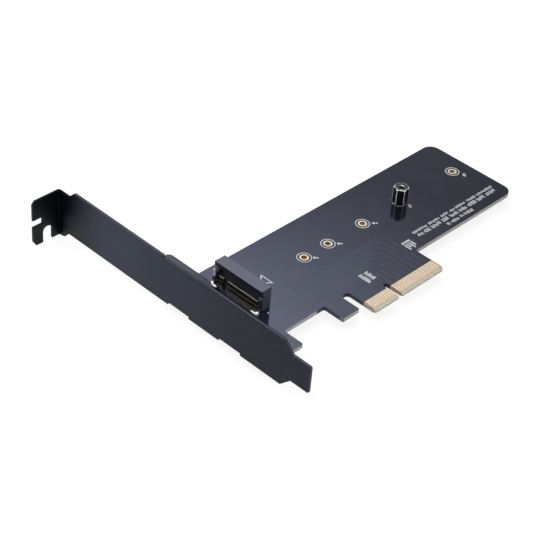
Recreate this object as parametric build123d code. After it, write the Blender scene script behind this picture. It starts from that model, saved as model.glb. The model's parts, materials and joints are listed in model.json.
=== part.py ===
from build123d import *
from math import radians, tan
import os

# A plug-in card that carries an M.2 drive, lying flat with its component side up.
# X runs along the card edge away from the bracket, Y from the card edge into the board,
# Z out of the component side. The origin is the middle of the key notch on the mating
# edge, at half the board's thickness. All sizes are in millimetres.

# Board and its card edge
board_thickness = 1.57
key_width = 1.9
key_depth = 7.8
short_edge = 11.65
long_edge = 21.65
edge_corner = 1.2
bevel_height = 1.3
bevel_angle = 20
shoulder_height = 12.85
board_height = 39.75
card_length = 138.05
far_corner = 4.0
prong_tip = 4.3
hook_reach = 43.05
slot_width = 3.5
prong_width = 7.9
slot_corner = 1.5
inner_corner = 0.7
tip_corner = 0.4

# Gold on the board
pad_pitch = 1.0
pad_width = 0.7
pad_thickness = 0.05
pad_to_key = 0.55
gold_height = 5.6
pad_start_gap = 0.1

# Places for the drive, counted from the drive's own edge
drive_x = -40.08
drive_y = 35.42
drive_holes = (30, 42, 60, 80, 110)
standoff_place = drive_holes[3]
drive_hole_radius = 1.1
drive_ring_radius = 1.65

# Drive socket
socket_width = 21.9
socket_front = 2.2
socket_rear = 2.4
socket_height = 8.5
socket_seat = 0.1
roof_drop = 1.6
back_wall = 1.3
cheek_width = 1.5
cheek_rear = 2.6
cheek_height = 5.1
cheek_edge = 0.5
drive_seat = 6.75
drive_thickness = 0.8
mouth_clearance = 0.2
mouth_width = 20.1
mouth_depth = 2.8
mouth_lead = 0.3
chin_drop = 0.9
chin_depth = 0.7
key_offset = 6.125
key_wall = 1.2
peg_spacing = 19.0
peg_back = 0.6
peg_radius = 0.55
large_peg_radius = 0.8
peg_length = 1.2
peg_clearance = 0.05

# Socket contacts and hold-downs
contact_pitch = 0.25
contact_positions = 75
keyed_from = 59
keyed_to = 66
contact_width = 0.22
contact_thickness = 0.15
contact_reach = 0.9
rear_leg_depth = 0.5
rear_leg_height = 2.75
rear_leg_step = 0.45
rear_shelf_height = 1.3
rear_shelf_step = 0.5
rear_foot_reach = 0.85
front_leg_depth = 1.2
front_foot_reach = 0.4
nail_width = 1.1
nail_thickness = 0.25
nail_overhang = 0.2
nail_foot = 1.1
short_strap = 1.5
long_strap = 5.4

# Standoff and its screw
standoff_flats = 5.0
standoff_turn = 7
standoff_chamfer = 0.35
thread_radius = 0.8
thread_depth = 4.0
lower_thread_radius = 1.02
lower_thread_depth = 2.4
countersink = 0.3
stud_reach = 2.0
stud_radius = 0.98
stud_head_radius = 1.9
stud_head_height = 1.2

# Bracket, one folded sheet
sheet = 0.86
key_to_bracket = 60.25
board_gap = 0.4
lug_bend_inside = 0.15
lip_bend_inside = 1.0
tab_bend_inside = 0.3
plate_width = 18.42
tail_width = 10.6
bracket_height = 120.02
tail_end = 13.96
tail_length = 7.75
tail_corner = 0.45
neck_place = 5.1
neck_step = 2.9
ear_run = 2.4
ear_drop = 2.75
tab_drop = 3.165
tab_depth = 11.43
tab_corner = 1.2
tab_notch_width = 2.8
tab_notch_depth = 4.1
tab_notch_place = 8.02
tab_leg_cut = (1.3, 1.9)
screw_slot_width = 4.05
screw_slot_place = 5.2
screw_slot_depth = 6.06
lip_length = 21.6
lip_reach = 2.4
lip_corner = 2.3
plate_overhang = 0.25

# Bracket lugs and screws
lug_inset = 7.9
lug_width = 10.0
lug_reach = 10.5
lug_corner = 2.0
lug_hole_place = 6.35
lug_thread_radius = 1.25
screw_hole_radius = 1.6
screw_neck_radius = 1.48
screw_core_radius = 1.22
screw_length = 2.8
screw_head_radius = 2.8
screw_head_height = 1.9
screw_head_dome = 0.6
recess_wing = 0.55
recess_span = 1.5
recess_deep = 1.0

# Worked out from the sizes above
top = board_thickness / 2
bottom = -top
board_top_edge = shoulder_height + board_height
key_to_far_edge = card_length - key_to_bracket
edge_left = -key_width / 2 - short_edge
edge_right = key_width / 2 + long_edge
prong_right = edge_left - slot_width
prong_left = prong_right - prong_width
plate_outer = -key_to_bracket
plate_inner = plate_outer + sheet
board_left = plate_inner + board_gap
plate_low = bottom - sheet
plate_high = plate_low + plate_width
plate_middle = (plate_low + plate_high) / 2
tab_face = bracket_height - tail_end - sheet
tab_low = plate_low - tab_drop
plate_edge = plate_low - plate_overhang
tab_top = plate_high - neck_step
lug_bend = lug_bend_inside + sheet
lip_bend = lip_bend_inside + sheet
screw_x = plate_outer + lug_hole_place
lug_places = (shoulder_height + lug_inset, board_top_edge - lug_inset)
lip_to = board_top_edge
lip_from = lip_to - lip_length
standoff_height = drive_seat - pad_thickness
pegs = ((peg_spacing / 2, peg_radius), (-peg_spacing / 2, large_peg_radius))
over = 1.0


def block(x0, x1, y0, y1, z0, z1):
    """A box between two corners."""
    return Pos((x0 + x1) / 2, (y0 + y1) / 2, (z0 + z1) / 2) * Box(x1 - x0, y1 - y0, z1 - z0)


def panel(x0, x1, y0, y1):
    """A rectangle between two corners."""
    return Pos((x0 + x1) / 2, (y0 + y1) / 2) * Rectangle(x1 - x0, y1 - y0)


def outline(points):
    """A closed face through the points."""
    return make_face(Polyline(*points, close=True))


def round_corner(face, x, y, radius):
    """Round the corner of a face that lies nearest to a point."""
    vertex = min(face.vertices(), key=lambda v: (v.X - x) ** 2 + (v.Y - y) ** 2)
    return fillet(vertex, radius)


def along_x(points, x0, x1):
    """A profile of (Y, Z) points, run from x0 to x1."""
    return Pos(x0, 0, 0) * extrude(Plane.YZ * outline(points), x1 - x0)


def along_y(points, y0, y1):
    """A profile of (X, Z) points, run from y0 to y1."""
    return Pos(0, y1, 0) * extrude(Plane.XZ * outline(points), y1 - y0)


def turned(points):
    """A profile of (radius, Z) points, turned about Z."""
    return revolve(Plane.XZ * outline(points), Axis.Z)


def drive_point(distance):
    """The place of one drive hole on the board."""
    return drive_x + distance, drive_y


def save(shape, name):
    export_step(shape, f"parts/{name}.step")


def circuit_board():
    """The board: hook, prong, card edge with its key, bevels and every drilled hole."""
    face = panel(board_left, key_to_far_edge, shoulder_height, board_top_edge)
    face += panel(board_left, -hook_reach, prong_tip, shoulder_height + over)
    face += panel(prong_left, prong_right, prong_tip, shoulder_height + over)
    face += panel(edge_left, edge_right, 0, shoulder_height + over)
    for x, y, radius in (
        (key_to_far_edge, board_top_edge, far_corner),
        (key_to_far_edge, shoulder_height, far_corner),
        (edge_right, 0, edge_corner),
        (edge_left, 0, tip_corner),
        (edge_right, shoulder_height, inner_corner),
        (edge_left, shoulder_height, slot_corner),
        (prong_right, shoulder_height, slot_corner),
        (prong_left, shoulder_height, inner_corner),
        (-hook_reach, shoulder_height, inner_corner),
        (prong_left, prong_tip, tip_corner),
        (prong_right, prong_tip, tip_corner),
        (-hook_reach, prong_tip, tip_corner),
    ):
        face = round_corner(face, x, y, radius)
    key_round = key_depth - key_width / 2
    face -= panel(-key_width / 2, key_width / 2, -over, key_round)
    face -= Pos(0, key_round) * Circle(key_width / 2)
    for distance in drive_holes:
        face -= Pos(*drive_point(distance)) * Circle(drive_hole_radius)
    for y in lug_places:
        face -= Pos(screw_x, y) * Circle(screw_hole_radius)
    for offset, radius in pegs:
        face -= Pos(drive_x - peg_back, drive_y + offset) * Circle(radius + peg_clearance)
    board = extrude(face, board_thickness / 2, both=True)
    for side in (1, -1):
        slope = tan(radians(bevel_angle))
        edge = top - (bevel_height + over) * slope
        wedge = ((-over, side * edge), (bevel_height, side * top),
                 (bevel_height, side * (top + over)), (-over, side * (top + over)))
        board -= along_x(wedge, edge_left - over, edge_right + over)
    return board


def finger_pads(side, centres):
    """The gold pads of one stretch of the card edge, on one face of the board."""
    low, high = sorted((side * top, side * (top + pad_thickness)))
    start = bevel_height + pad_start_gap
    half = pad_width / 2
    return [block(x - half, x + half, start, gold_height, low, high) for x in centres]


def pad_centres():
    """The pads' places along the card edge, on the bracket's side of the key and beyond it."""
    first = key_width / 2 + pad_to_key
    short = int((short_edge - pad_to_key) / pad_pitch)
    long = int((long_edge - pad_to_key) / pad_pitch)
    near = [-first - i * pad_pitch for i in range(short)]
    far = [first + i * pad_pitch for i in range(long)]
    return near, far


def plated_hole(distance):
    """The two plated rings of one drive hole, one on each face of the board."""
    ring = extrude(Circle(drive_ring_radius) - Circle(drive_hole_radius), pad_thickness)
    x, y = drive_point(distance)
    return [Pos(x, y, z) * ring for z in (top, bottom - pad_thickness)]


def socket_housing():
    """The tall moulded socket: roof, back wall, mouth, cheeks and locating pegs."""
    half = socket_width / 2
    roof_low = socket_height - roof_drop
    mouth_low = drive_seat - mouth_clearance
    mouth_high = drive_seat + drive_thickness + mouth_clearance
    mouth_back = socket_front - mouth_depth
    # The side view of the middle, from the back wall over the roof to the chin
    middle = (
        (-back_wall, socket_seat),
        (-back_wall, roof_low - cheek_edge),
        (-socket_rear, roof_low),
        (-socket_rear, socket_height),
        (socket_front, socket_height),
        (socket_front, mouth_low - chin_drop),
        (socket_front - chin_depth, mouth_low - chin_drop - chin_depth),
        (socket_front - chin_depth, socket_seat),
    )
    body = along_y(middle, -half, half)
    cheek = (
        (-cheek_rear, socket_seat),
        (-cheek_rear, cheek_height - cheek_edge),
        (-cheek_rear + cheek_edge, cheek_height),
        (-back_wall, cheek_height + cheek_edge),
        (socket_front, cheek_height + cheek_edge),
        (socket_front, socket_seat),
    )
    for side in (1, -1):
        low, high = sorted((side * half, side * (half - cheek_width)))
        body += along_y(cheek, low, high)
    mouth = (
        (mouth_back, mouth_low),
        (mouth_back, mouth_high),
        (socket_front - mouth_lead, mouth_high),
        (socket_front + over, mouth_high + mouth_lead + over),
        (socket_front + over, mouth_low - mouth_lead - over),
        (socket_front - mouth_lead, mouth_low),
    )
    opening = along_y(mouth, -mouth_width / 2, mouth_width / 2)
    wall = block(mouth_back - over, socket_front - mouth_lead, key_offset - key_wall / 2,
                 key_offset + key_wall / 2, mouth_low - over, mouth_high + over)
    body -= opening - wall
    for offset, radius in pegs:
        peg = extrude(Circle(radius), peg_length + socket_seat + over)
        body += Pos(-peg_back, offset, -peg_length) * peg
    return body


def contact_rows():
    """The contacts' places across the socket, odd ones above the drive and even ones below it."""
    middle = (contact_positions + 1) / 2
    rows = ([], [])
    for number in range(1, contact_positions + 1):
        if not keyed_from <= number <= keyed_to:
            rows[(number + 1) % 2].append((number - middle) * contact_pitch)
    return rows


def square_to(vector):
    """The direction square to a flat vector."""
    length = (vector[0] ** 2 + vector[1] ** 2) ** 0.5
    return -vector[1] / length, vector[0] / length


def strip_outline(points, thickness):
    """The closed outline of a strip of even thickness that follows the points."""
    left, right = [], []
    for i, (x, z) in enumerate(points):
        before, after = points[max(i - 1, 0)], points[min(i + 1, len(points) - 1)]
        come = square_to((x - before[0], z - before[1])) if i else None
        go = square_to((after[0] - x, after[1] - z)) if after != (x, z) else come
        come = come or go
        mid = ((come[0] + go[0]) / 2, (come[1] + go[1]) / 2)
        reach = thickness / 2 / (mid[0] ** 2 + mid[1] ** 2)
        left.append((x + mid[0] * reach, z + mid[1] * reach))
        right.append((x - mid[0] * reach, z - mid[1] * reach))
    return left + right[::-1]


def contact_strips(points, places):
    """One bent contact, repeated across the socket."""
    half = contact_width / 2
    return [along_y(strip_outline(points, contact_thickness), y - half, y + half) for y in places]


def socket_contacts():
    """The two rows of contacts, above the drive and below it."""
    above, below = contact_rows()
    lift = contact_thickness / 2
    foot = lift
    tip = socket_front - contact_reach
    upper_line = drive_seat + drive_thickness + mouth_clearance / 2
    inner = rear_leg_depth - back_wall
    shelf = -back_wall - rear_leg_step
    outer = shelf - rear_shelf_step
    # From the mouth down inside the back wall, out of it, and down to the board in two steps
    upper = (
        (tip, upper_line),
        (inner, upper_line),
        (inner, rear_leg_height),
        (shelf, rear_leg_height),
        (shelf, rear_shelf_height),
        (outer, rear_shelf_height),
        (outer, foot),
        (outer - rear_foot_reach, foot),
    )
    lower_line = drive_seat - mouth_clearance / 2
    lower = (
        (tip, lower_line),
        (socket_front - chin_depth - front_leg_depth, lower_line),
        (socket_front - chin_depth - front_leg_depth, foot),
        (socket_front + front_foot_reach, foot),
    )
    return contact_strips(upper, above), contact_strips(lower, below)


def holddown(side, strap_top):
    """A soldered hold-down: a strap on the back of one cheek, with a foot on the board."""
    half = socket_width / 2 + nail_overhang
    low, high = sorted((side * half, side * (half - nail_width)))
    back = -cheek_rear - nail_thickness / 2
    points = ((back, strap_top), (back, nail_thickness / 2), (back - nail_foot, nail_thickness / 2))
    return along_y(strip_outline(points, nail_thickness), low, high)


def on_board(shape, x=drive_x, y=drive_y, z=top):
    """Move a shape from its own zero to a place on the board."""
    return Pos(x, y, z) * shape


def standoff():
    """The hexagonal standoff, threaded from above for the drive and from below for its screw."""
    corner = standoff_flats / 3 ** 0.5
    body = Rot(0, 0, standoff_turn) * extrude(RegularPolygon(corner, 6), standoff_height)
    flat = standoff_flats / 2
    drop = standoff_chamfer
    ends = ((0, 0), (flat, 0), (corner, drop), (corner, standoff_height - drop),
            (flat, standoff_height), (0, standoff_height))
    body &= turned(ends)
    floor = standoff_height - thread_depth
    body -= turned(((0, floor), (thread_radius, floor), (thread_radius, standoff_height - countersink),
                    (thread_radius + countersink, standoff_height),
                    (thread_radius + countersink, standoff_height + over), (0, standoff_height + over)))
    body -= turned(((0, lower_thread_depth), (lower_thread_radius, lower_thread_depth),
                    (lower_thread_radius, -over), (0, -over)))
    return on_board(body, *drive_point(standoff_place), top + pad_thickness)


def cross_recess(face):
    """The cross in a screw's head, cut down from its face."""
    long, narrow = recess_span / 2, recess_wing / 2
    cut = block(-long, long, -narrow, narrow, face - recess_deep, face + over)
    return cut + block(-narrow, narrow, -long, long, face - recess_deep, face + over)


def standoff_screw():
    """The pan-head screw that holds the standoff from the solder side, shown head up at zero."""
    neck = board_thickness + 2 * pad_thickness
    head, dome = stud_head_height, screw_head_dome
    body = turned((
        (0, -neck - stud_reach),
        (stud_radius, -neck - stud_reach),
        (stud_radius, 0),
        (stud_head_radius, 0),
        (stud_head_radius, head - dome),
        (stud_head_radius - dome, head),
        (0, head),
    ))
    body -= cross_recess(head)
    return on_board(Rot(180, 0, 0) * body, *drive_point(standoff_place), bottom - pad_thickness)


def bracket_screw(y):
    """One pan-head screw that holds the board down on a lug."""
    head, dome = screw_head_height, screw_head_dome
    body = turned((
        (0, -screw_length),
        (screw_core_radius, -screw_length),
        (screw_core_radius, -board_thickness),
        (screw_neck_radius, -board_thickness),
        (screw_neck_radius, 0),
        (screw_head_radius, 0),
        (screw_head_radius, head - dome),
        (screw_head_radius - dome, head),
        (0, head),
    ))
    return on_board(body - cross_recess(head), screw_x, y)


def bracket_plate():
    """The flat of the bracket: tail, shoulders, long plate, neck and ear."""
    tail_low, tail_high = plate_middle - tail_width / 2, plate_middle + tail_width / 2
    straight = tail_length - tail_end
    neck = tab_face - tab_bend_inside
    lower_start = tab_face - neck_place
    upper_start = lower_start - neck_step
    face = outline((
        (-tail_end, tail_low),
        (straight, tail_low),
        (straight + tail_low - plate_edge, plate_edge),
        (lower_start, plate_edge),
        (lower_start + ear_run, plate_low - ear_drop),
        (neck, tab_low),
        (neck, tab_top),
        (upper_start + neck_step, tab_top),
        (upper_start, plate_high),
        (straight + plate_high - tail_high, plate_high),
        (straight, tail_high),
        (-tail_end, tail_high),
    ))
    for corner in (tail_low, tail_high):
        face = chamfer(min(face.vertices(), key=lambda v: (v.X + tail_end) ** 2 + (v.Y - corner) ** 2),
                       tail_corner)
    return Pos(plate_outer, 0, 0) * extrude(Plane.YZ * face, sheet)


def bracket_tab():
    """The folded tab: bend, screw slot, side notch and cut corners."""
    left = plate_outer - tab_depth
    bend_x, bend_y = plate_outer - tab_bend_inside, tab_face - tab_bend_inside
    outer = tab_bend_inside + sheet
    notch_high = tab_low + tab_notch_place + tab_notch_width
    leg_x, leg_z = tab_leg_cut
    face = outline((
        (bend_x, tab_top),
        (left + tab_corner, tab_top),
        (left, tab_top - tab_corner),
        (left, notch_high),
        (left + tab_notch_depth, notch_high),
        (left + tab_notch_depth, notch_high - tab_notch_width),
        (left, notch_high - tab_notch_width),
        (left, tab_low + leg_z),
        (left + leg_x, tab_low),
        (bend_x, tab_low),
    ))
    slot_x = plate_outer - screw_slot_place
    slot_half = screw_slot_width / 2
    slot_round = tab_low + screw_slot_depth - slot_half
    face -= panel(slot_x - slot_half, slot_x + slot_half, tab_low - over, slot_round)
    face -= Pos(slot_x, slot_round) * Circle(slot_half)
    tab = Pos(0, tab_face + sheet, 0) * extrude(Plane.XZ * face, sheet)
    ring = Circle(outer) - Circle(tab_bend_inside)
    quarter = Pos(bend_x, bend_y) * (ring & panel(0, outer, 0, outer))
    bend = Pos(0, 0, tab_low) * extrude(quarter, tab_top - tab_low)
    return tab + bend


def inward_fold(z_edge, up, reach, y0, y1, corner, outside):
    """A flange folded in from an edge of the plate, with rounded corners."""
    root = z_edge - up * (outside + sheet)
    low, high = sorted((z_edge, root))
    plate = panel(plate_outer, plate_inner, low, high)
    flat_low, flat_high = sorted((z_edge, z_edge - up * sheet))
    face = plate + panel(plate_outer, plate_outer + reach, flat_low, flat_high)
    face = round_corner(face, plate_outer, z_edge, outside)
    face = round_corner(face, plate_inner, z_edge - up * sheet, outside - sheet)
    flange = Pos(0, y1, 0) * extrude(Plane.XZ * face, y1 - y0)
    plan = panel(plate_outer, plate_outer + reach, y0, y1)
    for y in (y0, y1):
        plan = round_corner(plan, plate_outer + reach, y, corner)
    return flange & Pos(0, 0, low) * extrude(plan, high - low)


def bracket():
    """The bracket: one sheet with its tail, tab, lip and the two lugs under the board."""
    body = bracket_plate() + bracket_tab()
    folds = [(plate_high, 1, lip_reach, lip_from, lip_to, lip_corner, lip_bend)]
    for y in lug_places:
        folds.append((plate_low, -1, lug_reach, y - lug_width / 2, y + lug_width / 2, lug_corner, lug_bend))
    for z, up, reach, y0, y1, corner, bend in folds:
        low, high = sorted((z + up * over, z - up * bend))
        body -= block(plate_outer - over, plate_inner + over, y0, y1, low, high)
        body += inward_fold(z, up, reach, y0, y1, corner, bend)
    for y in lug_places:
        hole = Cylinder(lug_thread_radius, 2 * (sheet + over))
        body -= Pos(screw_x, y, plate_low) * hole
    return body


def build():
    """Every piece of the adapter, each in its own file."""
    os.makedirs("parts", exist_ok=True)
    save(circuit_board(), "circuit_board")
    near, far = pad_centres()
    for side, name in ((1, "front"), (-1, "back")):
        save(Compound(finger_pads(side, near)), f"finger_pads_{name}_short")
        save(Compound(finger_pads(side, far)), f"finger_pads_{name}_long")
    for distance in drive_holes:
        save(Compound(plated_hole(distance)), f"plated_hole_{distance}")
    above, below = socket_contacts()
    housing = socket_housing()
    for strip in above + below:
        housing -= strip
    save(on_board(housing), "socket_housing")
    save(on_board(Compound(above)), "socket_contacts_upper")
    save(on_board(Compound(below)), "socket_contacts_lower")
    save(on_board(holddown(-1, short_strap)), "socket_holddown_left")
    save(on_board(holddown(1, long_strap)), "socket_holddown_right")
    save(standoff(), "standoff")
    save(standoff_screw(), "standoff_screw")
    save(bracket(), "bracket")
    for y, name in zip(lug_places, ("lower", "upper")):
        save(bracket_screw(y), f"bracket_screw_{name}")


build()
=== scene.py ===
import bpy
import json
import math
import random
from mathutils import Matrix, Vector


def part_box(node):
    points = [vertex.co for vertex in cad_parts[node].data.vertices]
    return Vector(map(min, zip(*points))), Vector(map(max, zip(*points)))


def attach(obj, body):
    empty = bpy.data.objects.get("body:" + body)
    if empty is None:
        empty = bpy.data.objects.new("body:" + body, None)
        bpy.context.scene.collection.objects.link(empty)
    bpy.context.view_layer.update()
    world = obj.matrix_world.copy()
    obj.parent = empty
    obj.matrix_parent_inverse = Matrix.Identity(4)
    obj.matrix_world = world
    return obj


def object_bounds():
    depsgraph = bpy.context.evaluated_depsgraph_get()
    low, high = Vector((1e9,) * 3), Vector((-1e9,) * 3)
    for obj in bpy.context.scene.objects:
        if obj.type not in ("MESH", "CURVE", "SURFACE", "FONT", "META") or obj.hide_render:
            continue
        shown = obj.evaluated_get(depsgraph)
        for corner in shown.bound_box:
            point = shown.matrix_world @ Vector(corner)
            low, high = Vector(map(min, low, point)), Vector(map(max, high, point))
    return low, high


# An adapter card for an M.2 drive: black board, gold card edge, tall socket, hex standoff and a
# powder-coated slot bracket. Everything is in the CAD frame: X along the card edge away from the
# bracket, Y into the board, Z out of the component side. Named sizes here are in millimetres.

mm = 0.001
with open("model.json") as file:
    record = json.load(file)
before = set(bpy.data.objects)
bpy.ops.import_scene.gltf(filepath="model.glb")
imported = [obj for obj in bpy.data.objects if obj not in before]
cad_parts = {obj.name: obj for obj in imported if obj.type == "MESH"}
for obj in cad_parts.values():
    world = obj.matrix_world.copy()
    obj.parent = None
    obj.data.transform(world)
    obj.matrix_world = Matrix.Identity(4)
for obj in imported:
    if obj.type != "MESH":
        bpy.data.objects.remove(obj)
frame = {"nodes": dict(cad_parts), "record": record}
cad_low, cad_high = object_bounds()
nodes = frame["nodes"]
random.seed(7)


# Sizes taken from the frame

def span(node, axis):
    """A node's lowest and highest coordinate along one axis, in millimetres."""
    low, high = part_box(node)
    return low[axis] / mm, high[axis] / mm


def middle(node):
    """The middle of a node's box in the plane of the board, in millimetres."""
    return sum(span(node, 0)) / 2, sum(span(node, 1)) / 2


mounts = {mount["name"]: mount for mount in frame["record"]["mounts"]}
board_top = span("circuit_board", 2)[1]
gold_top = span("finger_pads_front_long", 1)[1]
edge_left = span("finger_pads_front_short", 0)[0]
drive_places = (30, 42, 60, 80, 110)
holes = [middle(f"plated_hole_{place}") for place in drive_places]
drive_axis = holes[0][1]
drive_x = holes[0][0] - drive_places[0]
ring_from, ring_to = span("plated_hole_30", 0)
ring_radius = (ring_to - ring_from) / 2
hole_radius = mounts["m2_hole_30"]["dims"]["r_mm"]
plate_face = mounts["bracket_face"]["pos_m"][0] / mm
housing_low = span("socket_housing", 0)[0]
housing_high = span("socket_housing", 2)[1]
lip_to = span("circuit_board", 1)[1]

# Zones of colour, as places in the CAD frame
slots_from, slots_to = -27.5, 3.0
lip_length = 21.6
lip_from = lip_to - lip_length
plate_end = 98.0
tone_zone = (15, 70)
# Painted shade on the bracket near the tab
painted_shade_zone = (82, 99)
end_face_split = (88, 90)
fold_zone = (103, 104.5)
# Radii from the standoff's axis past which its corners get painted highlights
standoff_painted_highlight_radius = 2.79
standoff_painted_highlight_top = 2.42
strap_shade = 2.6
roof_depth = 0.3

# Thin layers on the board, and the smallest mound of solder
print_height = 0.03
copper_height = 0.015
small_mound = (-40.44, 22.63)

# Printed marks, as plain shapes: places on the board
print_ring_radius = 2.72
print_line = 0.38
arrow_base = 12.0
arrow_point = 7.9
arrow_half = 3.05
arrow_line = 2.6 * print_line
ring_gap = 0.05
stroke_widths = (0.34, 0.42, 0.52)
stroke_lifts = (0.0, 0.0, 0.22)
stroke_drops = (0.0, 0.0, 0.18)
stroke_gap = 0.25
least_stroke = 0.2
word_gap = 0.4
text_heights = {19.95: 1.15, 17.85: 1.75, 15.3: 1.5}
text_rows = {
    19.95: ((29.3, 37.5), (37.9, 44.1), (44.8, 49.1), (49.8, 52.6), (53.0, 58.7), (59.5, 64.5),
            (65.1, 74.6)),
    17.85: ((29.8, 32.7), (33.2, 36.6), (37.2, 42.6), (43.2, 46.9), (47.5, 52.0), (52.6, 57.0),
            (57.7, 62.4), (62.9, 67.4), (68.0, 73.3)),
    15.3: ((42.9, 44.7), (45.1, 49.6), (50.2, 52.1), (52.5, 57.8)),
}
side_columns = ((-0.15, 11.7, 16.4), (-2.75, 11.3, 16.6))
side_column_width = 1.8
side_bar_heights = (0.45, 0.6)
side_bar_insets = (0.0, 0.25)
side_bar_gap = 0.14
hole_marks = {
    30: ((2.6, -2.45, 0.6), (3.4, -3.2, 0.42)),
    42: ((2.9, -2.45, 0.6), (3.7, -3.2, 0.42)),
    60: ((3.2, -2.4, 0.6), (4.0, -3.15, 0.42)),
    80: ((1.35, -3.7, 0.6), (0.9, -4.3, 0.6)),
    110: ((2.05, -4.0, 0.6), (1.55, -4.6, 0.6)),
}
hole_mark_sides = 12
badge_low = (21.4, 14.1)
badge_high = (25.6, 18.7)
badge_bar = 0.9
badge_columns = 4
badge_pitch = 1.15
badge_column_width = 0.7
badge_column_drop = 1.3
badge_stagger = 0.9


# Shapes

def mesh_piece(name, points, faces, material, slot, smooth=False):
    """A new piece from points in millimetres, riding on the one body."""
    mesh = bpy.data.meshes.new(name)
    mesh.from_pydata([tuple(c * mm for c in p) for p in points], [], faces)
    mesh.validate()
    mesh.update()
    piece = bpy.data.objects.new(name, mesh)
    bpy.context.scene.collection.objects.link(piece)
    mesh.materials.append(material)
    if smooth:
        for polygon in mesh.polygons:
            polygon.use_smooth = True
    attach(piece, "root")
    return piece


def prism(outline, low, high):
    """Points and faces of a prism over a flat outline that runs anticlockwise."""
    count = len(outline)
    points = [(x, y, low) for x, y in outline] + [(x, y, high) for x, y in outline]
    faces = [tuple(range(count))[::-1], tuple(range(count, 2 * count))]
    faces += [(i, (i + 1) % count, count + (i + 1) % count, count + i) for i in range(count)]
    return points, faces


def loop_prism(outer, inner, low, high):
    """Points and faces of a flat ring between two outlines with as many points each."""
    count = len(outer)
    points = [(x, y, z) for line in (outer, inner) for z in (low, high) for x, y in line]
    faces = []
    for i in range(count):
        j = (i + 1) % count
        a, b, c, d = 0, count, 2 * count, 3 * count
        faces += [(a + i, a + j, b + j, b + i), (c + j, c + i, d + i, d + j),
                  (b + i, b + j, d + j, d + i), (a + j, a + i, c + i, c + j)]
    return points, faces


def ribbon(path, width, low, high):
    """Points and faces of a flat ribbon of even width along a path."""
    left, right = [], []
    for i, point in enumerate(path):
        before, after = path[max(i - 1, 0)], path[min(i + 1, len(path) - 1)]
        along = Vector((after[0] - before[0], after[1] - before[1])).normalized()
        side = Vector((-along.y, along.x)) * width / 2
        left.append((point[0] + side.x, point[1] + side.y))
        right.append((point[0] - side.x, point[1] - side.y))
    count = len(path)
    points = [(x, y, z) for z in (low, high) for line in (left, right) for x, y in line]
    faces = []
    for i in range(count - 1):
        a, b, c, d = i, count + i, 2 * count + i, 3 * count + i
        faces += [(a, a + 1, b + 1, b), (c, d, d + 1, c + 1), (a, c, c + 1, a + 1),
                  (b, b + 1, d + 1, d)]
    last = count - 1
    faces += [(0, count, 3 * count, 2 * count),
              (last, 2 * count + last, 3 * count + last, count + last)]
    return points, faces


def joined(shapes):
    """Several sets of points and faces as one."""
    points, faces = [], []
    for more, sides in shapes:
        start = len(points)
        points += more
        faces += [tuple(start + i for i in side) for side in sides]
    return points, faces


def circle(x, y, radius, count=48):
    """An anticlockwise outline of a circle."""
    turns = [2 * math.pi * i / count for i in range(count)]
    return [(x + radius * math.cos(t), y + radius * math.sin(t)) for t in turns]


def rectangle(x0, y0, x1, y1):
    """An anticlockwise rectangle."""
    return [(x0, y0), (x1, y0), (x1, y1), (x0, y1)]


def rounded_path(corners, radius, steps=8):
    """A path through the corners with each bend rounded."""
    path = [corners[0]]
    for i in range(1, len(corners) - 1):
        here = Vector(corners[i])
        come = (here - Vector(corners[i - 1]))
        go = (Vector(corners[i + 1]) - here)
        angle = come.angle(go)
        reach = min(radius * math.tan(angle / 2), come.length * 0.49, go.length * 0.49)
        start, end = here - come.normalized() * reach, here + go.normalized() * reach
        for k in range(steps + 1):
            t = k / steps
            point = start * (1 - t) ** 2 + here * 2 * t * (1 - t) + end * t ** 2
            path.append((point.x, point.y))
    path.append(corners[-1])
    return path


# Materials

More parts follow.
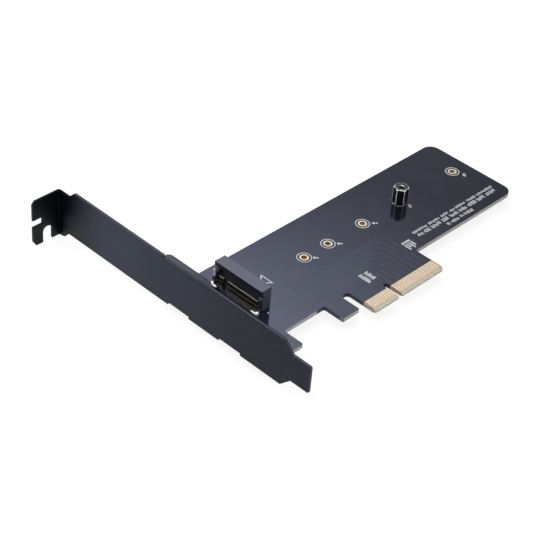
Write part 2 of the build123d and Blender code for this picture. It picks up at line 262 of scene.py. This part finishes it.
class Look:
    """One procedural material around a Principled shader."""

    def __init__(self, name, colour, roughness, metallic=0.0, specular=0.5, tint=(1, 1, 1),
                 ior=1.5):
        self.material = bpy.data.materials.new(name)
        self.material.use_nodes = True
        self.tree = self.material.node_tree
        self.shader = self.tree.nodes["Principled BSDF"]
        self.place = self.node("ShaderNodeTexCoord").outputs["Object"]
        self.colour = self.plain_colour(colour)
        self.roughness = roughness
        self.shader.inputs["Metallic"].default_value = metallic
        self.shader.inputs["Specular IOR Level"].default_value = specular
        self.shader.inputs["Specular Tint"].default_value = (*tint, 1)
        self.shader.inputs["IOR"].default_value = ior

    def node(self, kind, **values):
        made = self.tree.nodes.new(kind)
        for key, value in values.items():
            setattr(made, key, value)
        return made

    def link(self, source, target):
        self.tree.links.new(source, target)

    def plain_colour(self, colour):
        made = self.node("ShaderNodeRGB")
        made.outputs[0].default_value = (*colour, 1)
        return made.outputs[0]

    def maths(self, operation, first, second=None):
        """One sum on numbers or on other nodes' values."""
        made = self.node("ShaderNodeMath", operation=operation)
        for socket, value in zip(made.inputs, (first, second)):
            if value is None:
                continue
            if isinstance(value, (int, float)):
                socket.default_value = value
            else:
                self.link(value, socket)
        return made.outputs[0]

    def noise(self, size, detail=3.0, stretch=(1, 1, 1)):
        """Even noise with features about size millimetres across, from 0 to 1."""
        mapping = self.node("ShaderNodeMapping")
        mapping.inputs["Scale"].default_value = stretch
        self.link(self.place, mapping.inputs["Vector"])
        made = self.node("ShaderNodeTexNoise")
        made.inputs["Scale"].default_value = 1 / (size * mm)
        made.inputs["Detail"].default_value = detail
        self.link(mapping.outputs[0], made.inputs["Vector"])
        return made.outputs["Fac"]

    def spread(self, value, low, high):
        """A 0 to 1 value spread over another range."""
        made = self.node("ShaderNodeMapRange")
        made.inputs["From Min"].default_value = 0.3
        made.inputs["From Max"].default_value = 0.7
        made.inputs["To Min"].default_value = low
        made.inputs["To Max"].default_value = high
        self.link(value, made.inputs["Value"])
        return made.outputs["Result"]

    def mix(self, first, second, factor):
        """The first colour where the factor is 0 and the second where it is 1."""
        made = self.node("ShaderNodeMix", data_type="RGBA")
        sockets = [made.inputs[i] for i in (0, 6, 7)]
        for socket, value in zip(sockets, (factor, first, second)):
            if isinstance(value, tuple):
                socket.default_value = (*value, 1)
            elif isinstance(value, (int, float)):
                socket.default_value = value
            else:
                self.link(value, socket)
        return made.outputs[2]

    def vary(self, other, size, amount=1.0):
        """Let the colour drift towards another one in soft patches."""
        factor = self.spread(self.noise(size), 0, amount)
        self.colour = self.mix(self.colour, other, factor)
        return self

    def facing(self, axis, start=0.4, end=0.9):
        """A mask that is 1 on faces that look along one axis."""
        parts = self.node("ShaderNodeSeparateXYZ")
        self.link(self.node("ShaderNodeNewGeometry").outputs["Normal"], parts.inputs[0])
        made = self.node("ShaderNodeMapRange")
        made.inputs["From Min"].default_value = start
        made.inputs["From Max"].default_value = end
        self.link(parts.outputs[axis], made.inputs["Value"])
        return made.outputs["Result"]

    def along(self, axis, start, end):
        """A value that goes from 0 to 1 between two places along an axis, in millimetres."""
        parts = self.node("ShaderNodeSeparateXYZ")
        self.link(self.place, parts.inputs[0])
        made = self.node("ShaderNodeMapRange")
        made.inputs["From Min"].default_value = start * mm
        made.inputs["From Max"].default_value = end * mm
        self.link(parts.outputs[axis], made.inputs["Value"])
        return made.outputs["Result"]

    def above(self, height):
        """A mask that is 1 above a height in millimetres."""
        parts = self.node("ShaderNodeSeparateXYZ")
        self.link(self.place, parts.inputs[0])
        return self.maths("GREATER_THAN", parts.outputs[2], height * mm)

    def where(self, mask, colour):
        """Another colour where the mask is 1."""
        self.colour = self.mix(self.colour, colour, mask)
        return self

    def grain(self, size, depth, roughness_range=None, detail=4.0, stretch=(1, 1, 1)):
        """Fine relief of a depth in millimetres, with roughness that follows it."""
        height = self.noise(size, detail, stretch)
        bump = self.node("ShaderNodeBump")
        bump.inputs["Distance"].default_value = depth * mm
        bump.inputs["Strength"].default_value = 1.0
        self.link(height, bump.inputs["Height"])
        if self.shader.inputs["Normal"].is_linked:
            self.link(self.shader.inputs["Normal"].links[0].from_socket, bump.inputs["Normal"])
        self.link(bump.outputs[0], self.shader.inputs["Normal"])
        if roughness_range:
            self.rough = self.spread(height, *roughness_range)
        return self

    def done(self):
        """Join the colour and the roughness to the shader, and give the material."""
        self.link(self.colour, self.shader.inputs["Base Color"])
        rough = getattr(self, "rough", None)
        if rough is None:
            drift = self.noise(4.0)
            rough = self.spread(drift, self.roughness * 0.85, self.roughness * 1.15)
        self.link(rough, self.shader.inputs["Roughness"])
        return self.material


def mask_gloss(look):
    """The level of the solder mask's gloss, stronger towards the bracket and the long edge."""
    level = look.maths("ADD", look.maths("MULTIPLY", look.along(0, 50, -40), 0.37), 0.34)
    level = look.maths("ADD", level, look.maths("MULTIPLY", look.along(1, 5, 45), 0.29))
    # Weaker when looked at square on
    slant = look.node("ShaderNodeLayerWeight")
    slant.inputs["Blend"].default_value = 0.5
    fall = look.node("ShaderNodeMapRange")
    fall.inputs["From Min"].default_value = 0.08
    fall.inputs["From Max"].default_value = 0.33
    fall.inputs["To Min"].default_value = 0.12
    look.link(slant.outputs["Facing"], fall.inputs["Value"])
    return look.maths("MULTIPLY", level, fall.outputs["Result"])


def board_look():
    """Glossy dark mask on the faces, bare laminate on the edges and between the pads."""
    look = Look("board_mask", (0.003, 0.0035, 0.005), 0.09, tint=(0.66, 0.72, 1.0), ior=2.3)
    look.vary((0.005, 0.0055, 0.008), 18.0)
    parts = look.node("ShaderNodeSeparateXYZ")
    look.link(look.place, parts.inputs[0])
    x, y, z = parts.outputs
    normal = look.node("ShaderNodeNewGeometry").outputs["Normal"]
    facing = look.node("ShaderNodeSeparateXYZ")
    look.link(normal, facing.inputs[0])
    face = look.maths("GREATER_THAN", look.maths("ABSOLUTE", facing.outputs[2]), 0.5)
    edge = look.maths("SUBTRACT", 1.0, face)
    low_enough = look.maths("LESS_THAN", y, gold_top * mm)
    past_slot = look.maths("GREATER_THAN", x, (edge_left - 1.0) * mm)
    pad_zone = look.maths("MULTIPLY", low_enough, past_slot)
    bare_face = look.maths("MULTIPLY", pad_zone, face)
    # Laminate: pale core with fine layers along the thickness
    layers = look.spread(look.noise(0.16, 2.0, (0.08, 0.08, 1.0)), 0, 1)
    laminate = look.mix((0.48, 0.45, 0.39), (0.66, 0.62, 0.54), layers)
    tan = look.mix((0.34, 0.23, 0.13), (0.44, 0.32, 0.19), look.spread(look.noise(0.7), 0, 1))
    bevel = look.mix((0.52, 0.45, 0.31), (0.66, 0.59, 0.43), look.spread(look.noise(0.9), 0, 1))
    look.where(edge, laminate)
    # Edges that look at the bracket, and the walls of the slots, lie in shade
    shade_side = look.maths("MULTIPLY", edge, look.facing(0, -0.2, -0.6))
    look.where(shade_side, (0.035, 0.032, 0.026))
    slots = look.maths("MULTIPLY", look.maths("GREATER_THAN", x, slots_from * mm),
                       look.maths("LESS_THAN", x, slots_to * mm))
    slots = look.maths("MULTIPLY", slots, look.maths("GREATER_THAN", y, (gold_top + 0.3) * mm))
    slot_walls = look.maths("MULTIPLY", slots, edge)
    look.where(slot_walls, (0.009, 0.009, 0.013))
    dull = look.maths("SUBTRACT", 1.0, look.maths("MULTIPLY", slot_walls, 0.72))
    level = look.maths("MULTIPLY", mask_gloss(look), dull)
    look.link(level, look.shader.inputs["Specular IOR Level"])
    # Round the pads: tan between them and on the sides, paler on the bevel
    look.where(look.maths("MULTIPLY", edge, pad_zone), tan)
    look.where(bare_face, tan)
    look.where(look.maths("MULTIPLY", look.facing(1, -0.15, -0.25), pad_zone), bevel)
    # Bores of the drive places
    bore = None
    for hole_x, hole_y in holes:
        dx = look.maths("SUBTRACT", x, hole_x * mm)
        dy = look.maths("SUBTRACT", y, hole_y * mm)
        square = look.maths("ADD", look.maths("MULTIPLY", dx, dx), look.maths("MULTIPLY", dy, dy))
        near = look.maths("LESS_THAN", square, ((hole_radius + 0.2) * mm) ** 2)
        bore = near if bore is None else look.maths("MAXIMUM", bore, near)
    bore = look.maths("MULTIPLY", bore, edge)
    look.where(bore, (0.50, 0.26, 0.06))
    # Fine relief, with the bare laminate duller than the mask
    bare = look.maths("MAXIMUM", edge, bare_face)
    look.grain(9.0, 0.006, None, 2.0)
    look.grain(0.35, 0.004, None, 3.0)
    gloss = look.spread(look.noise(6.0), 0.07, 0.12)
    matte = look.node("ShaderNodeMix", data_type="FLOAT")
    look.link(bare, matte.inputs[0])
    look.link(gloss, matte.inputs[2])
    matte.inputs[3].default_value = 0.6
    look.rough = matte.outputs[0]
    return look.done()


def trace_look():
    """Copper under the same mask: a shade lighter than the bare laminate under it."""
    look = Look("trace_mask", (0.030, 0.033, 0.044), 0.12, tint=(0.66, 0.72, 1.0), ior=2.3)
    look.vary((0.032, 0.034, 0.046), 6.0)
    look.link(mask_gloss(look), look.shader.inputs["Specular IOR Level"])
    look.grain(0.3, 0.003, (0.10, 0.16))
    return look.done()


def gold_look():
    """Thin gold plate: paler on the rings round the holes, with painted shade down the bores."""
    look = Look("gold_plate", (0.98, 0.82, 0.62), 0.28, metallic=1.0)
    look.vary((0.94, 0.76, 0.55), 1.6)
    parts = look.node("ShaderNodeSeparateXYZ")
    look.link(look.place, parts.inputs[0])
    ring = look.maths("GREATER_THAN", parts.outputs[1], (gold_top + 3) * mm)
    look.where(ring, (1.0, 0.91, 0.74))
    # Painted shade: the walls down the bores get a near-black colour and little gloss, as shade in
    # a deep hole.
    flat = look.maths("MAXIMUM", look.facing(2, 0.2, 0.6), look.facing(2, -0.2, -0.6))
    bore = look.maths("MULTIPLY", ring, look.maths("SUBTRACT", 1.0, flat))
    look.where(bore, (0.030, 0.009, 0.001))
    metal = look.maths("SUBTRACT", 0.5, look.maths("MULTIPLY", ring, 0.2))
    metal = look.maths("MULTIPLY", metal, look.maths("SUBTRACT", 1.0, bore))
    look.link(metal, look.shader.inputs["Metallic"])
    level = look.maths("SUBTRACT", 0.5, look.maths("MULTIPLY", bore, 0.48))
    look.link(level, look.shader.inputs["Specular IOR Level"])
    look.grain(0.08, 0.0016, (0.22, 0.40), stretch=(1, 0.12, 1))
    return look.done()


def bare_ring_look():
    """Bare dark laminate between a plated ring and its printed ring."""
    look = Look("bare_ring", (0.022, 0.018, 0.012), 0.5)
    look.vary((0.032, 0.026, 0.018), 0.8)
    look.grain(0.2, 0.004, (0.45, 0.65))
    return look.done()


def print_look():
    """Uneven white print."""
    look = Look("white_print", (0.64, 0.64, 0.68), 0.55)
    look.vary((0.47, 0.48, 0.52), 0.5)
    look.grain(0.12, 0.004, (0.45, 0.7))
    return look.done()


def socket_look():
    """Black moulding, with painted light making its roof and the end that looks at the card edge
    paler.
    """
    look = Look("socket_moulding", (0.005, 0.005, 0.007), 0.42, specular=0.35,
                tint=(0.85, 0.9, 1.0))
    look.vary((0.009, 0.009, 0.012), 1.2)
    # Painted light: the end that looks at the card edge and the upward faces of the roof are made
    # paler than the moulding.
    end_face = look.maths("MULTIPLY", look.facing(1, -0.6, -0.9),
                          look.along(0, housing_low + 0.8, housing_low + 1.0))
    look.where(end_face, (0.135, 0.14, 0.165))
    roof = look.maths("MULTIPLY", look.facing(2), look.above(housing_high - roof_depth))
    look.where(roof, (0.130, 0.134, 0.178))
    look.grain(0.10, 0.006, (0.36, 0.52))
    return look.done()


def contact_look():
    """Dull contact metal, with painted highlights on the upward faces of the two shelves."""
    look = Look("contact_plate", (0.19, 0.16, 0.105), 0.35, metallic=1.0)
    look.vary((0.09, 0.072, 0.047), 0.6)
    # Painted highlights: upward faces above each height get a paler colour, the upper one near
    # white and not metallic.
    for height, colour in ((1.6, (0.22, 0.20, 0.16)), (3.2, (0.90, 0.88, 0.80))):
        top = look.maths("MULTIPLY", look.facing(2), look.above(height))
        look.where(top, colour)
    look.link(look.maths("SUBTRACT", 1.0, top), look.shader.inputs["Metallic"])
    look.grain(0.05, 0.002, (0.28, 0.45))
    return look.done()


def tin_look(name, shaded=False):
    """Tinned metal: bright solder, or straps with painted shade below a height and on the card
    edge's side.
    """
    look = Look(name, (0.93, 0.92, 0.90), 0.25, metallic=0.6)
    look.vary((0.82, 0.81, 0.79), 0.5)
    if shaded:
        # Painted shade: the strap is made near black except above a height on the side away from
        # the card edge.
        parts = look.node("ShaderNodeSeparateXYZ")
        look.link(look.place, parts.inputs[0])
        far_side = look.maths("GREATER_THAN", parts.outputs[1], drive_axis * mm)
        bright = look.maths("MULTIPLY", far_side, look.above(board_top + strap_shade))
        look.where(look.maths("SUBTRACT", 1.0, bright), (0.030, 0.030, 0.030))
    look.grain(0.25, 0.012, (0.18, 0.34))
    return look.done()


def nickel_look():
    """Dark nickel, with painted light on its top and painted highlights on its corners."""
    look = Look("black_nickel", (0.045, 0.045, 0.048), 0.16, metallic=1.0)
    look.vary((0.070, 0.070, 0.074), 1.5)
    # Painted light: faces that look up are made lighter.
    look.where(look.facing(2, 0.2, 0.6), (0.22, 0.22, 0.23))
    # Painted highlights on the hexagon's upright edges and on the corners of its top
    parts = look.node("ShaderNodeSeparateXYZ")
    look.link(look.place, parts.inputs[0])
    centre = middle("standoff")
    offsets = [look.maths("SUBTRACT", parts.outputs[i], centre[i] * mm) for i in (0, 1)]
    square = look.maths("ADD", *[look.maths("MULTIPLY", offset, offset) for offset in offsets])
    painted_highlight = look.maths("GREATER_THAN", square, (standoff_painted_highlight_radius * mm) ** 2)
    corner = look.maths("GREATER_THAN", square, (standoff_painted_highlight_top * mm) ** 2)
    painted_highlight = look.maths("MAXIMUM", painted_highlight, look.maths("MULTIPLY", corner, look.facing(2, 0.2, 0.6)))
    look.where(painted_highlight, (0.80, 0.79, 0.76))
    look.link(look.maths("SUBTRACT", 1.0, painted_highlight), look.shader.inputs["Metallic"])
    look.grain(0.12, 0.0015, (0.10, 0.22), stretch=(1, 1, 0.1))
    return look.done()


def steel_look():
    """Plated screw steel."""
    look = Look("screw_steel", (0.40, 0.40, 0.42), 0.30, metallic=1.0)
    look.vary((0.30, 0.30, 0.32), 0.9)
    look.grain(0.09, 0.002, (0.24, 0.38))
    return look.done()


def powder_look():
    """Fine-textured black powder coat, with painted shade near the tab and on the tab's end face,
    and painted light on other end faces, the plate's top edge and the lip.
    """
    look = Look("powder_coat", (0.001, 0.002, 0.009), 0.40, specular=0.17, tint=(0.62, 0.80, 1.0))
    look.colour = look.mix(look.colour, (0.037, 0.043, 0.072), look.along(1, *tone_zone))
    look.vary((0.012, 0.015, 0.025), 14.0, 0.25)
    look.vary((0.030, 0.034, 0.048), 0.6, 0.45)
    # Painted shade: the bracket is made near black near the tab.
    look.where(look.along(1, *painted_shade_zone), (0.001, 0.0015, 0.003))
    # Painted light and shade on faces that look towards the card edge: paler before the split,
    # near black past it at the tab.
    end_faces = look.facing(1, -0.5, -0.9)
    painted_light_ends = look.along(1, *reversed(end_face_split))
    painted_shade_ends = look.along(1, *end_face_split)
    look.where(look.maths("MULTIPLY", end_faces, painted_light_ends), (0.070, 0.076, 0.096))
    look.where(look.maths("MULTIPLY", end_faces, painted_shade_ends), (0.002, 0.0025, 0.004))
    # Painted light: the outer half of the plate's top edge is made paler.
    outer = look.maths("MULTIPLY", look.along(0, plate_face + 0.60, plate_face + 0.45),
                       look.along(1, plate_end, plate_end - 1))
    look.where(look.maths("MULTIPLY", look.facing(2, 0.3, 0.9), outer), (0.085, 0.088, 0.105))
    # Painted light: the lip's upward faces are made paler, more so further along.
    lip = look.maths("MULTIPLY", look.along(1, lip_from - 0.2, lip_from),
                     look.along(1, lip_to + 0.2, lip_to))
    pale = look.mix((0.042, 0.046, 0.060), (0.072, 0.078, 0.097),
                    look.along(1, lip_from + 2, lip_to - 8))
    look.where(look.maths("MULTIPLY", look.facing(2, 0.1, 0.9), lip), pale)
    # Less gloss in the inner corner of the tab's fold
    fold = look.maths("MULTIPLY", look.along(0, plate_face - 1.5, plate_face - 0.4),
                      look.along(1, *fold_zone))
    level = look.maths("SUBTRACT", 0.17, look.maths("MULTIPLY", fold, 0.095))
    look.link(level, look.shader.inputs["Specular IOR Level"])
    look.grain(0.38, 0.022, (0.34, 0.50), 3.0)
    return look.done()


looks = {
    "board": board_look(),
    "gold": gold_look(),
    "socket_plastic": socket_look(),
    "contact_metal": contact_look(),
    "tinned_metal": tin_look("tinned_strap", True),
    "black_nickel": nickel_look(),
    "screw_steel": steel_look(),
    "black_coat": powder_look(),
}
trace_material = trace_look()
solder_material = tin_look("solder")
print_material = print_look()

for part in frame["record"]["subparts"]:
    mesh = nodes[part["node"]].data
    mesh.materials.clear()
    mesh.materials.append(looks[part["material_slot"]])


def soften(node, width, segments=2):
    """Break a node's sharp edges by a small width, as deburring and coating do."""
    piece = nodes[node]
    weld = piece.modifiers.new("weld", "WELD")
    weld.merge_threshold = 0.0005 * mm
    bevel = piece.modifiers.new("edges", "BEVEL")
    bevel.width = width * mm
    bevel.segments = segments
    bevel.limit_method = "ANGLE"
    bevel.angle_limit = math.radians(40)
    bevel.use_clamp_overlap = True
    for polygon in piece.data.polygons:
        polygon.use_smooth = True
    normals = piece.modifiers.new("normals", "WEIGHTED_NORMAL")
    normals.keep_sharp = False
    normals.weight = 100


for node, width in (("bracket", 0.14), ("standoff", 0.10), ("socket_housing", 0.05),
                    ("socket_contacts_upper", 0.04), ("socket_contacts_lower", 0.04)):
    soften(node, width)


# Printed marks

low, high = board_top, board_top + print_height
marks = []
for hole_x, hole_y in holes:
    outer = circle(hole_x, hole_y, print_ring_radius)
    inner = circle(hole_x, hole_y, print_ring_radius - print_line)
    marks.append(loop_prism(outer, inner, low, high))
mesh_piece("print_rings", *joined(marks), print_material, "board")

gaps = []
for hole_x, hole_y in holes:
    outer = circle(hole_x, hole_y, print_ring_radius - print_line)
    inner = circle(hole_x, hole_y, ring_radius + ring_gap)
    gaps.append(loop_prism(outer, inner, low, low + copper_height))
mesh_piece("bare_rings", *joined(gaps), bare_ring_look(), "board")

arrow = [(drive_x + arrow_base, drive_axis - arrow_half),
         (drive_x + arrow_base, drive_axis + arrow_half),
         (drive_x + arrow_point, drive_axis)]
centre = Vector((sum(p[0] for p in arrow) / 3, sum(p[1] for p in arrow) / 3))
shrink = 1 - arrow_line / arrow_half
inner = [tuple(centre + (Vector(p) - centre) * shrink) for p in arrow]
mesh_piece("print_arrow", *loop_prism(arrow, inner, low, high), print_material, "board")


def greeked(x0, x1, y, height):
    """A word shown as a row of short upright strokes with no letters."""
    strokes = []
    x = x0
    x1 -= word_gap
    while x < x1 - least_stroke:
        width = random.choice(stroke_widths)
        lift = random.choice(stroke_lifts) * height
        drop = random.choice(stroke_drops) * height
        strokes.append(prism(rectangle(x, y - height / 2 + drop, min(x + width, x1),
                                       y + height / 2 - lift), low, high))
        x += width + stroke_gap
    return strokes


marks = [stroke for y, words in text_rows.items() for word in words
         for stroke in greeked(*word, y, text_heights[y])]
mesh_piece("print_lines", *joined(marks), print_material, "board")

marks = []
for x, y0, y1 in side_columns:
    y = y0
    while y < y1 - least_stroke:
        step = random.choice(side_bar_heights)
        inset = random.choice(side_bar_insets) * side_column_width
        bar = rectangle(x - side_column_width / 2, y, x + side_column_width / 2 - inset,
                        min(y + step, y1))
        marks.append(prism(bar, low, high))
        y += step + side_bar_gap
mesh_piece("print_side_rows", *joined(marks), print_material, "board")

bar = rectangle(badge_low[0], badge_high[1] - badge_bar, badge_high[0], badge_high[1])
marks = [prism(bar, low, high)]
for i in range(badge_columns):
    x = badge_low[0] + i * badge_pitch
    column = rectangle(x, badge_low[1] + (i % 2) * badge_stagger, x + badge_column_width,
                       badge_high[1] - badge_column_drop)
    marks.append(prism(column, low, high))
mesh_piece("print_badge", *joined(marks), print_material, "board")

marks = []
for place, (hole_x, hole_y) in zip(drive_places, holes):
    for dx, dy, half in hole_marks[place]:
        marks.append(prism(circle(hole_x + dx, hole_y + dy, half, hole_mark_sides), low, high))
mesh_piece("print_hole_marks", *joined(marks), print_material, "board")


# Traces from the socket to the card edge, and small filled vias

trace_pairs = 8
trace_width = 0.28
pair_gap = 0.55
trace_from = -36.6
trace_slant = 1.6
trace_bend = 5.0
pad_clearance = 0.4
shapes = []
for i in range(trace_pairs):
    start_y = 27.0 + i * 1.9
    run_y = 15.6 + i * 1.55
    turn_x = 2.4 + i * 2.5
    leave_x = -34.0 + i * 0.5
    meet_x = leave_x + abs(start_y - run_y) * trace_slant
    for offset in (-pair_gap / 2, pair_gap / 2):
        corners = [(trace_from, start_y + offset), (leave_x, start_y + offset),
                   (meet_x, run_y + offset), (turn_x + offset, run_y + offset),
                   (turn_x + offset, gold_top + pad_clearance)]
        path = rounded_path(corners, trace_bend)
        shapes.append(ribbon(path, trace_width, board_top, board_top + copper_height))
mesh_piece("traces", *joined(shapes), trace_material, "board")

via_places = [(-22.6, 30.0), (-22.5, 25.8), (-24.7, 25.7), (-26.5, 28.4), (-26.4, 32.5),
              (-23.4, 40.5), (-24.8, 36.8), (-11.1, 28.8), (-11.3, 25.5), (-30.7, 26.0),
              (-31.7, 20.3), (-34.4, 19.1), (-0.2, 9.3), (13.7, 11.4), (18.6, 9.6),
              (-8.4, 10.2), (6.4, 9.0)]
via_radius, via_hole, via_sides = 0.34, 0.16, 20
shapes = []
for x, y in via_places:
    outer, inner = circle(x, y, via_radius, via_sides), circle(x, y, via_hole, via_sides)
    shapes.append(loop_prism(outer, inner, board_top, board_top + copper_height))
mesh_piece("vias", *joined(shapes), trace_material, "board")


# Solder at the socket's feet

def mound(x, y, length, width, height, base, rows=6, count=16):
    """A soft mound of solder over an oval foot."""
    points, faces = [], []
    for r in range(rows + 1):
        t = r / rows
        level = base + height * (1 - (1 - t) ** 2)
        reach = math.sqrt(max(0.0, 1 - t ** 2)) * 0.9 + 0.1 * (1 - t)
        for k in range(count):
            a = 2 * math.pi * k / count
            points.append((x + length / 2 * reach * math.cos(a),
                           y + width / 2 * reach * math.sin(a), level))
    for r in range(rows):
        for k in range(count):
            j = (k + 1) % count
            faces.append((r * count + k, r * count + j, (r + 1) * count + j, (r + 1) * count + k))
    faces.append(tuple(rows * count + k for k in range(count)))
    return points, faces


shapes = []
for side in ("left", "right"):
    x = span(f"socket_holddown_{side}", 0)[0]
    y = middle(f"socket_holddown_{side}")[1]
    inward = math.copysign(1.0, drive_axis - y)
    shapes.append(mound(x + 0.35, y, length=1.5, width=1.5, height=0.55, base=board_top))
    shapes.append(mound(x - 0.15, y + 1.1 * inward, length=0.9, width=3.2, height=0.3,
                        base=board_top))
mesh_piece("holddown_solder", *joined(shapes), solder_material, "tinned_metal", smooth=True)
mesh_piece("small_mound", *mound(*small_mound, length=1.3, width=1.0, height=0.25, base=board_top),
           looks["screw_steel"], "screw_steel", smooth=True)


# Stage, light and camera

def white_to_camera(tree, shader, white):
    """Show plain white to the camera and in gloss, and the given shader to all other light."""
    path = tree.nodes.new("ShaderNodeLightPath")
    seen = tree.nodes.new("ShaderNodeMath")
    seen.operation = "MAXIMUM"
    tree.links.new(path.outputs["Is Camera Ray"], seen.inputs[0])
    glossy = tree.nodes.new("ShaderNodeMath")
    glossy.operation = "MAXIMUM"
    tree.links.new(path.outputs["Is Glossy Ray"], glossy.inputs[0])
    tree.links.new(path.outputs["Is Transmission Ray"], glossy.inputs[1])
    tree.links.new(glossy.outputs[0], seen.inputs[1])
    mix = tree.nodes.new("ShaderNodeMixShader")
    tree.links.new(seen.outputs[0], mix.inputs[0])
    tree.links.new(shader, mix.inputs[1])
    tree.links.new(white, mix.inputs[2])
    return mix.outputs[0]


floor_level = cad_low.z
floor_size = 6.0
mesh = bpy.data.meshes.new("floor")
corners = rectangle(-floor_size, -floor_size, floor_size, floor_size)
mesh.from_pydata([(x, y, floor_level) for x, y in corners], [], [(0, 1, 2, 3)])
floor = bpy.data.objects.new("floor", mesh)
bpy.context.scene.collection.objects.link(floor)
floor_material = bpy.data.materials.new("floor_white")
floor_material.use_nodes = True
tree = floor_material.node_tree
tree.nodes["Principled BSDF"].inputs["Base Color"].default_value = (0.80, 0.80, 0.80, 1)
tree.nodes["Principled BSDF"].inputs["Roughness"].default_value = 1.0
tree.nodes["Principled BSDF"].inputs["Specular IOR Level"].default_value = 0.0
paper = tree.nodes.new("ShaderNodeBsdfDiffuse")
paper.inputs["Color"].default_value = (0.16, 0.16, 0.16, 1)
glow = tree.nodes.new("ShaderNodeEmission")
glow.inputs["Strength"].default_value = 0.88
total = tree.nodes.new("ShaderNodeAddShader")
tree.links.new(paper.outputs[0], total.inputs[0])
tree.links.new(glow.outputs[0], total.inputs[1])
tree.links.new(white_to_camera(tree, tree.nodes["Principled BSDF"].outputs[0], total.outputs[0]),
               tree.nodes["Material Output"].inputs["Surface"])
mesh.materials.append(floor_material)

world = bpy.data.worlds.new("studio")
world.use_nodes = True
bpy.context.scene.world = world
tree = world.node_tree
ambient = tree.nodes["Background"]
ambient.inputs["Strength"].default_value = 0.5
backdrop = tree.nodes.new("ShaderNodeBackground")
direction = tree.nodes.new("ShaderNodeTexCoord")
height = tree.nodes.new("ShaderNodeSeparateXYZ")
tree.links.new(direction.outputs["Generated"], height.inputs[0])
ramp = tree.nodes.new("ShaderNodeMapRange")
ramp.inputs["From Min"].default_value = 0.575
ramp.inputs["From Max"].default_value = 0.66
ramp.inputs["To Min"].default_value = 0.30
ramp.inputs["To Max"].default_value = 1.0
tree.links.new(height.outputs[2], ramp.inputs["Value"])
path = tree.nodes.new("ShaderNodeLightPath")
mix = tree.nodes.new("ShaderNodeMix")
mix.data_type = "FLOAT"
tree.links.new(path.outputs["Is Camera Ray"], mix.inputs[0])
tree.links.new(ramp.outputs[0], mix.inputs[2])
mix.inputs[3].default_value = 1.0
tree.links.new(mix.outputs[0], backdrop.inputs["Strength"])
tree.links.new(white_to_camera(tree, ambient.outputs[0], backdrop.outputs[0]),
               tree.nodes["World Output"].inputs["Surface"])


def softbox(name, place, target, size, power):
    """A square soft light aimed at a point, places in metres."""
    lamp = bpy.data.lights.new(name, "AREA")
    lamp.size = size
    lamp.energy = power
    made = bpy.data.objects.new(name, lamp)
    made.location = place
    made.rotation_mode = "QUATERNION"
    made.rotation_quaternion = (Vector(target) - Vector(place)).to_track_quat("-Z", "Y")
    bpy.context.scene.collection.objects.link(made)
    return made


softbox("key_light", (-0.25, 0.25, 1.1), (0, 0.03, 0), size=1.5, power=20.0)

# The camera fitted to the photo: its focal length in the photo's pixels, its place and its axes
focal_pixels = 1612.43
photo_pixels = 540
sensor_width = 36.0
camera_data = bpy.data.cameras.new("camera")
camera_data.sensor_width = sensor_width
camera_data.lens = focal_pixels * sensor_width / photo_pixels
camera_data.clip_start = 0.01
camera_data.clip_end = 20.0
camera = bpy.data.objects.new("camera", camera_data)
right = Vector((0.70033, -0.71065, 0.06723))
up = Vector((0.40344, 0.47176, 0.78401))
back = Vector((-0.58887, -0.52195, 0.61709))
turn = Matrix((right, up, back)).transposed().to_4x4()
camera.matrix_world = Matrix.Translation((-0.34519, -0.24654, 0.33740)) @ turn
bpy.context.scene.collection.objects.link(camera)
bpy.context.scene.camera = camera
bpy.context.scene.view_settings.view_transform = "Standard"

bpy.context.view_layer.update()
